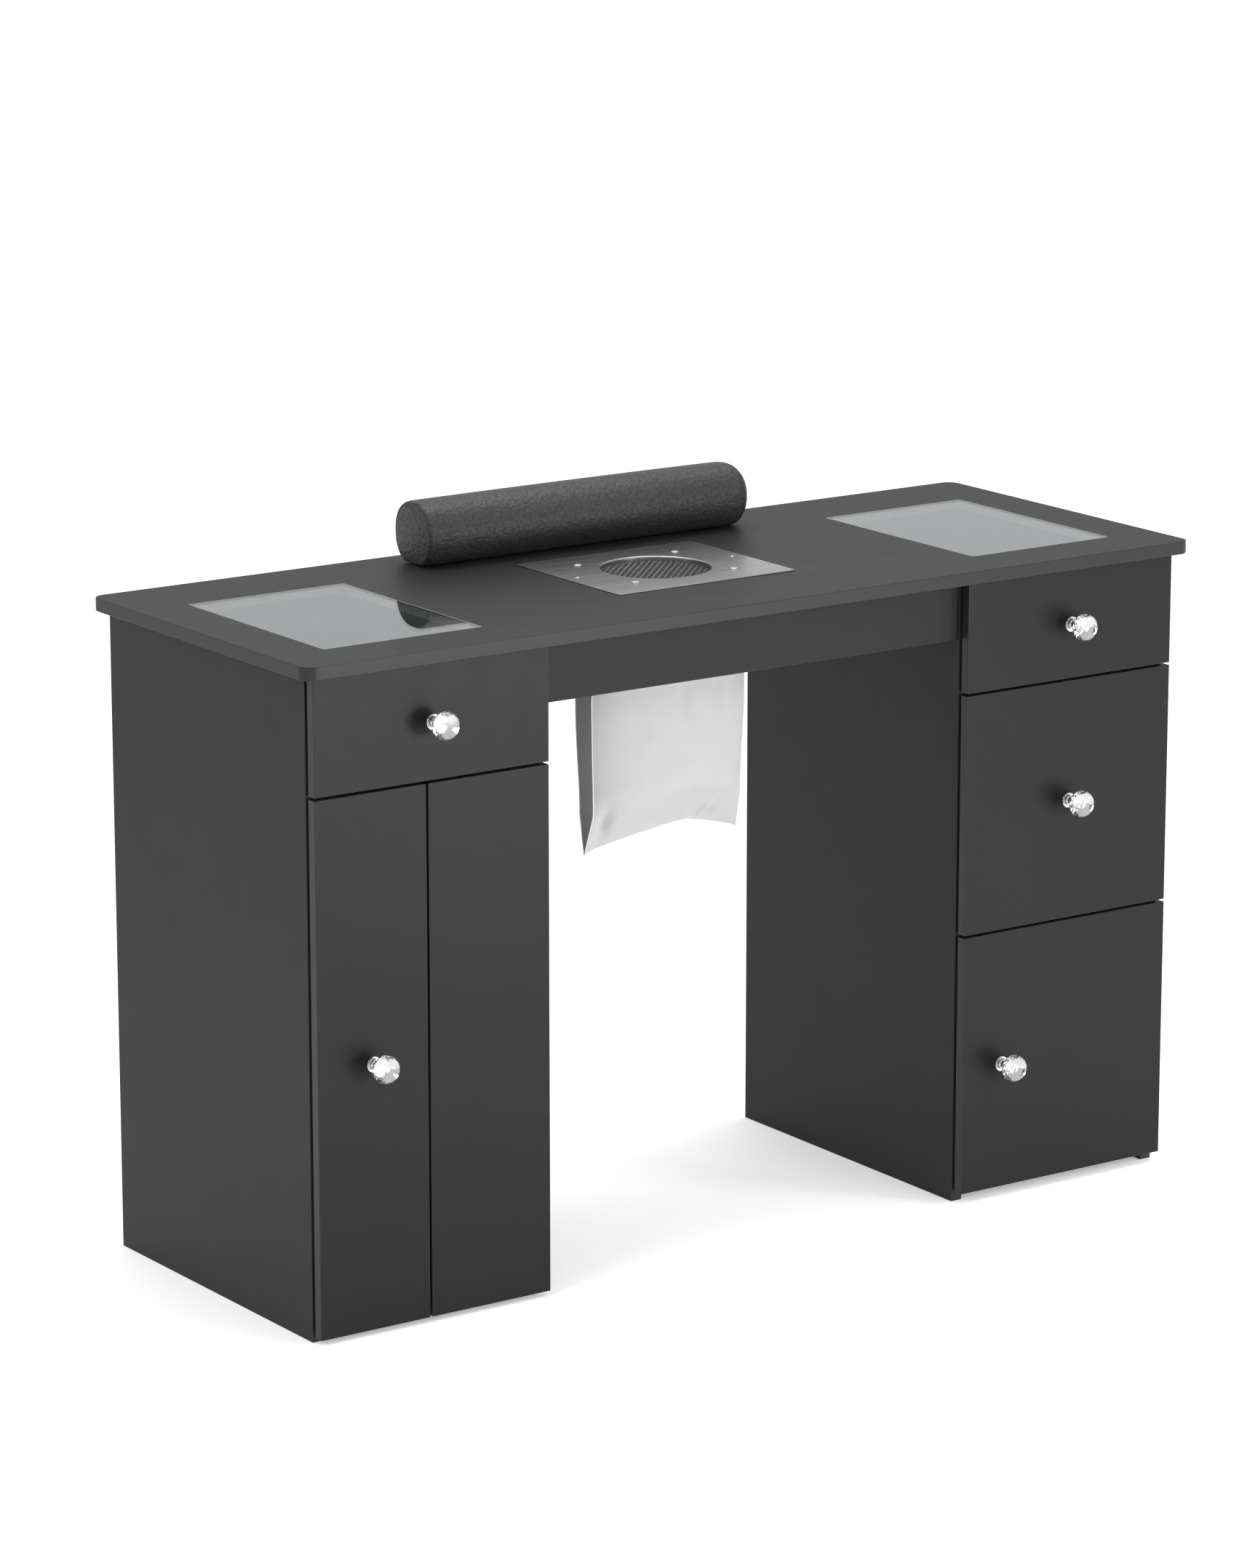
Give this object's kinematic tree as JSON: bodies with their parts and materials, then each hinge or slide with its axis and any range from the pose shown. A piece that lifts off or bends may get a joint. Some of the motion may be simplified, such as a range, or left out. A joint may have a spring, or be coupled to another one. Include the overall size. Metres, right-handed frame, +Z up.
{
  "type": "manicure table",
  "caption": "Black manicure table on two drawer pedestals, with glass windows, a downdraft dust fan and bag, crystal knobs and a loose wrist cushion.",
  "frame": {"origin": "on the floor, under the middle of the object's box", "axes": "+X along the tabletop to the technician's right, +Y from the drawer side to the client's side, +Z up"},
  "size_m": [1.2, 0.472, 0.8253],
  "materials": {
    "top_laminate": "satin",
    "front_laminate": "satin",
    "carcass_laminate": "satin",
    "drawer_board": "satin",
    "glass": "polished",
    "brushed_plate": "brushed",
    "mesh_wire": "satin",
    "screw_steel": "polished",
    "fan_plastic": "satin",
    "shaft_steel": "polished",
    "collar_plastic": "satin",
    "bag_fabric": "matte",
    "inlet_plastic": "satin",
    "rocker_plastic": "gloss",
    "cushion_leather": "satin",
    "hinge_steel": "satin",
    "runner_steel": "satin",
    "latch_plastic": "satin",
    "knob_metal": "polished",
    "knob_crystal": "polished"
  },
  "bodies": {
    "root": {"tabletop": "top_laminate", "glass_left": "glass", "glass_right": "glass", "vent_plate": "brushed_plate", "vent_mesh": "mesh_wire", "plate_screws": "screw_steel", "fan_housing": "fan_plastic", "fan_motor": "fan_plastic", "bag_collar": "collar_plastic", "power_inlet": "inlet_plastic", "front_rail": "carcass_laminate", "rear_rail": "carcass_laminate", "top_brackets": "hinge_steel", "left_outer_side": "carcass_laminate", "left_inner_side": "carcass_laminate", "left_back": "carcass_laminate", "left_bottom": "carcass_laminate", "left_shelf": "carcass_laminate", "left_partition": "carcass_laminate", "right_inner_side": "carcass_laminate", "right_outer_side": "carcass_laminate", "right_back": "carcass_laminate", "right_bottom": "carcass_laminate", "right_shelf": "carcass_laminate", "right_divider": "carcass_laminate", "runner_rails": "runner_steel", "hinge_leaves": "hinge_steel", "latch_body": "latch_plastic"},
    "fan": {"fan_impeller": "fan_plastic", "fan_shaft": "shaft_steel"},
    "rocker": {"power_rocker": "rocker_plastic"},
    "bag": {"dust_bag": "bag_fabric"},
    "cushion": {"wrist_cushion": "cushion_leather"},
    "latch": {"latch_plunger": "latch_plastic"},
    "left_drawer": {"left_drawer_front": "front_laminate", "left_drawer_box": "drawer_board", "left_drawer_runners": "runner_steel", "left_drawer_knob_base": "knob_metal", "left_drawer_knob": "knob_crystal"},
    "right_drawer": {"right_drawer_front": "front_laminate", "right_drawer_box": "drawer_board", "right_drawer_runners": "runner_steel", "right_drawer_knob_base": "knob_metal", "right_drawer_knob": "knob_crystal"},
    "middle_drawer": {"middle_drawer_front": "front_laminate", "middle_drawer_box": "drawer_board", "middle_drawer_runners": "runner_steel", "middle_drawer_knob_base": "knob_metal", "middle_drawer_knob": "knob_crystal"},
    "pullout": {"pullout_front": "front_laminate", "pullout_rack": "drawer_board", "pullout_runners": "runner_steel", "pullout_knob_base": "knob_metal", "pullout_knob": "knob_crystal"},
    "left_door": {"left_door": "front_laminate", "left_door_leaves": "hinge_steel"},
    "right_door": {"right_door": "front_laminate", "right_door_leaves": "hinge_steel", "right_door_knob_base": "knob_metal", "right_door_knob": "knob_crystal"}
  },
  "joints": [
    {"name": "fan_spin", "type": "hinge", "parent": "root", "child": "fan", "pos_m": [0, 0.008, 0.715], "axis": [0, 0, 1], "continuous": true},
    {"name": "rocker_tilt", "type": "hinge", "parent": "root", "child": "rocker", "pos_m": [0.091, -0.018, 0.718], "axis": [1, 0, 0], "range_deg": [0, 16]},
    {"name": "bag_pull", "type": "slide", "parent": "root", "child": "bag", "axis": [0, 0, -1], "range_m": [0, 0.12]},
    {"name": "cushion_lift", "type": "slide", "parent": "root", "child": "cushion", "axis": [0, 0, 1], "range_m": [0, 0.1]},
    {"name": "latch_press", "type": "slide", "parent": "root", "child": "latch", "axis": [0, 1, 0], "range_m": [0, 0.003], "stiffness_N_per_m": 600, "springref_m": -0.002},
    {"name": "left_drawer_slide", "type": "slide", "parent": "root", "child": "left_drawer", "axis": [0, -1, 0], "range_m": [0, 0.27]},
    {"name": "right_drawer_slide", "type": "slide", "parent": "root", "child": "right_drawer", "axis": [0, -1, 0], "range_m": [0, 0.27]},
    {"name": "middle_drawer_slide", "type": "slide", "parent": "root", "child": "middle_drawer", "axis": [0, -1, 0], "range_m": [0, 0.27]},
    {"name": "pullout_slide", "type": "slide", "parent": "root", "child": "pullout", "axis": [0, -1, 0], "range_m": [0, 0.27]},
    {"name": "left_door_hinge", "type": "hinge", "parent": "root", "child": "left_door", "pos_m": [-0.2827, -0.186, 0.304], "axis": [0, 0, 1], "range_deg": [0, 110]},
    {"name": "right_door_hinge", "type": "hinge", "parent": "root", "child": "right_door", "pos_m": [0.5863, -0.186, 0.165], "axis": [0, 0, 1], "range_deg": [0, 110]}
  ]
}
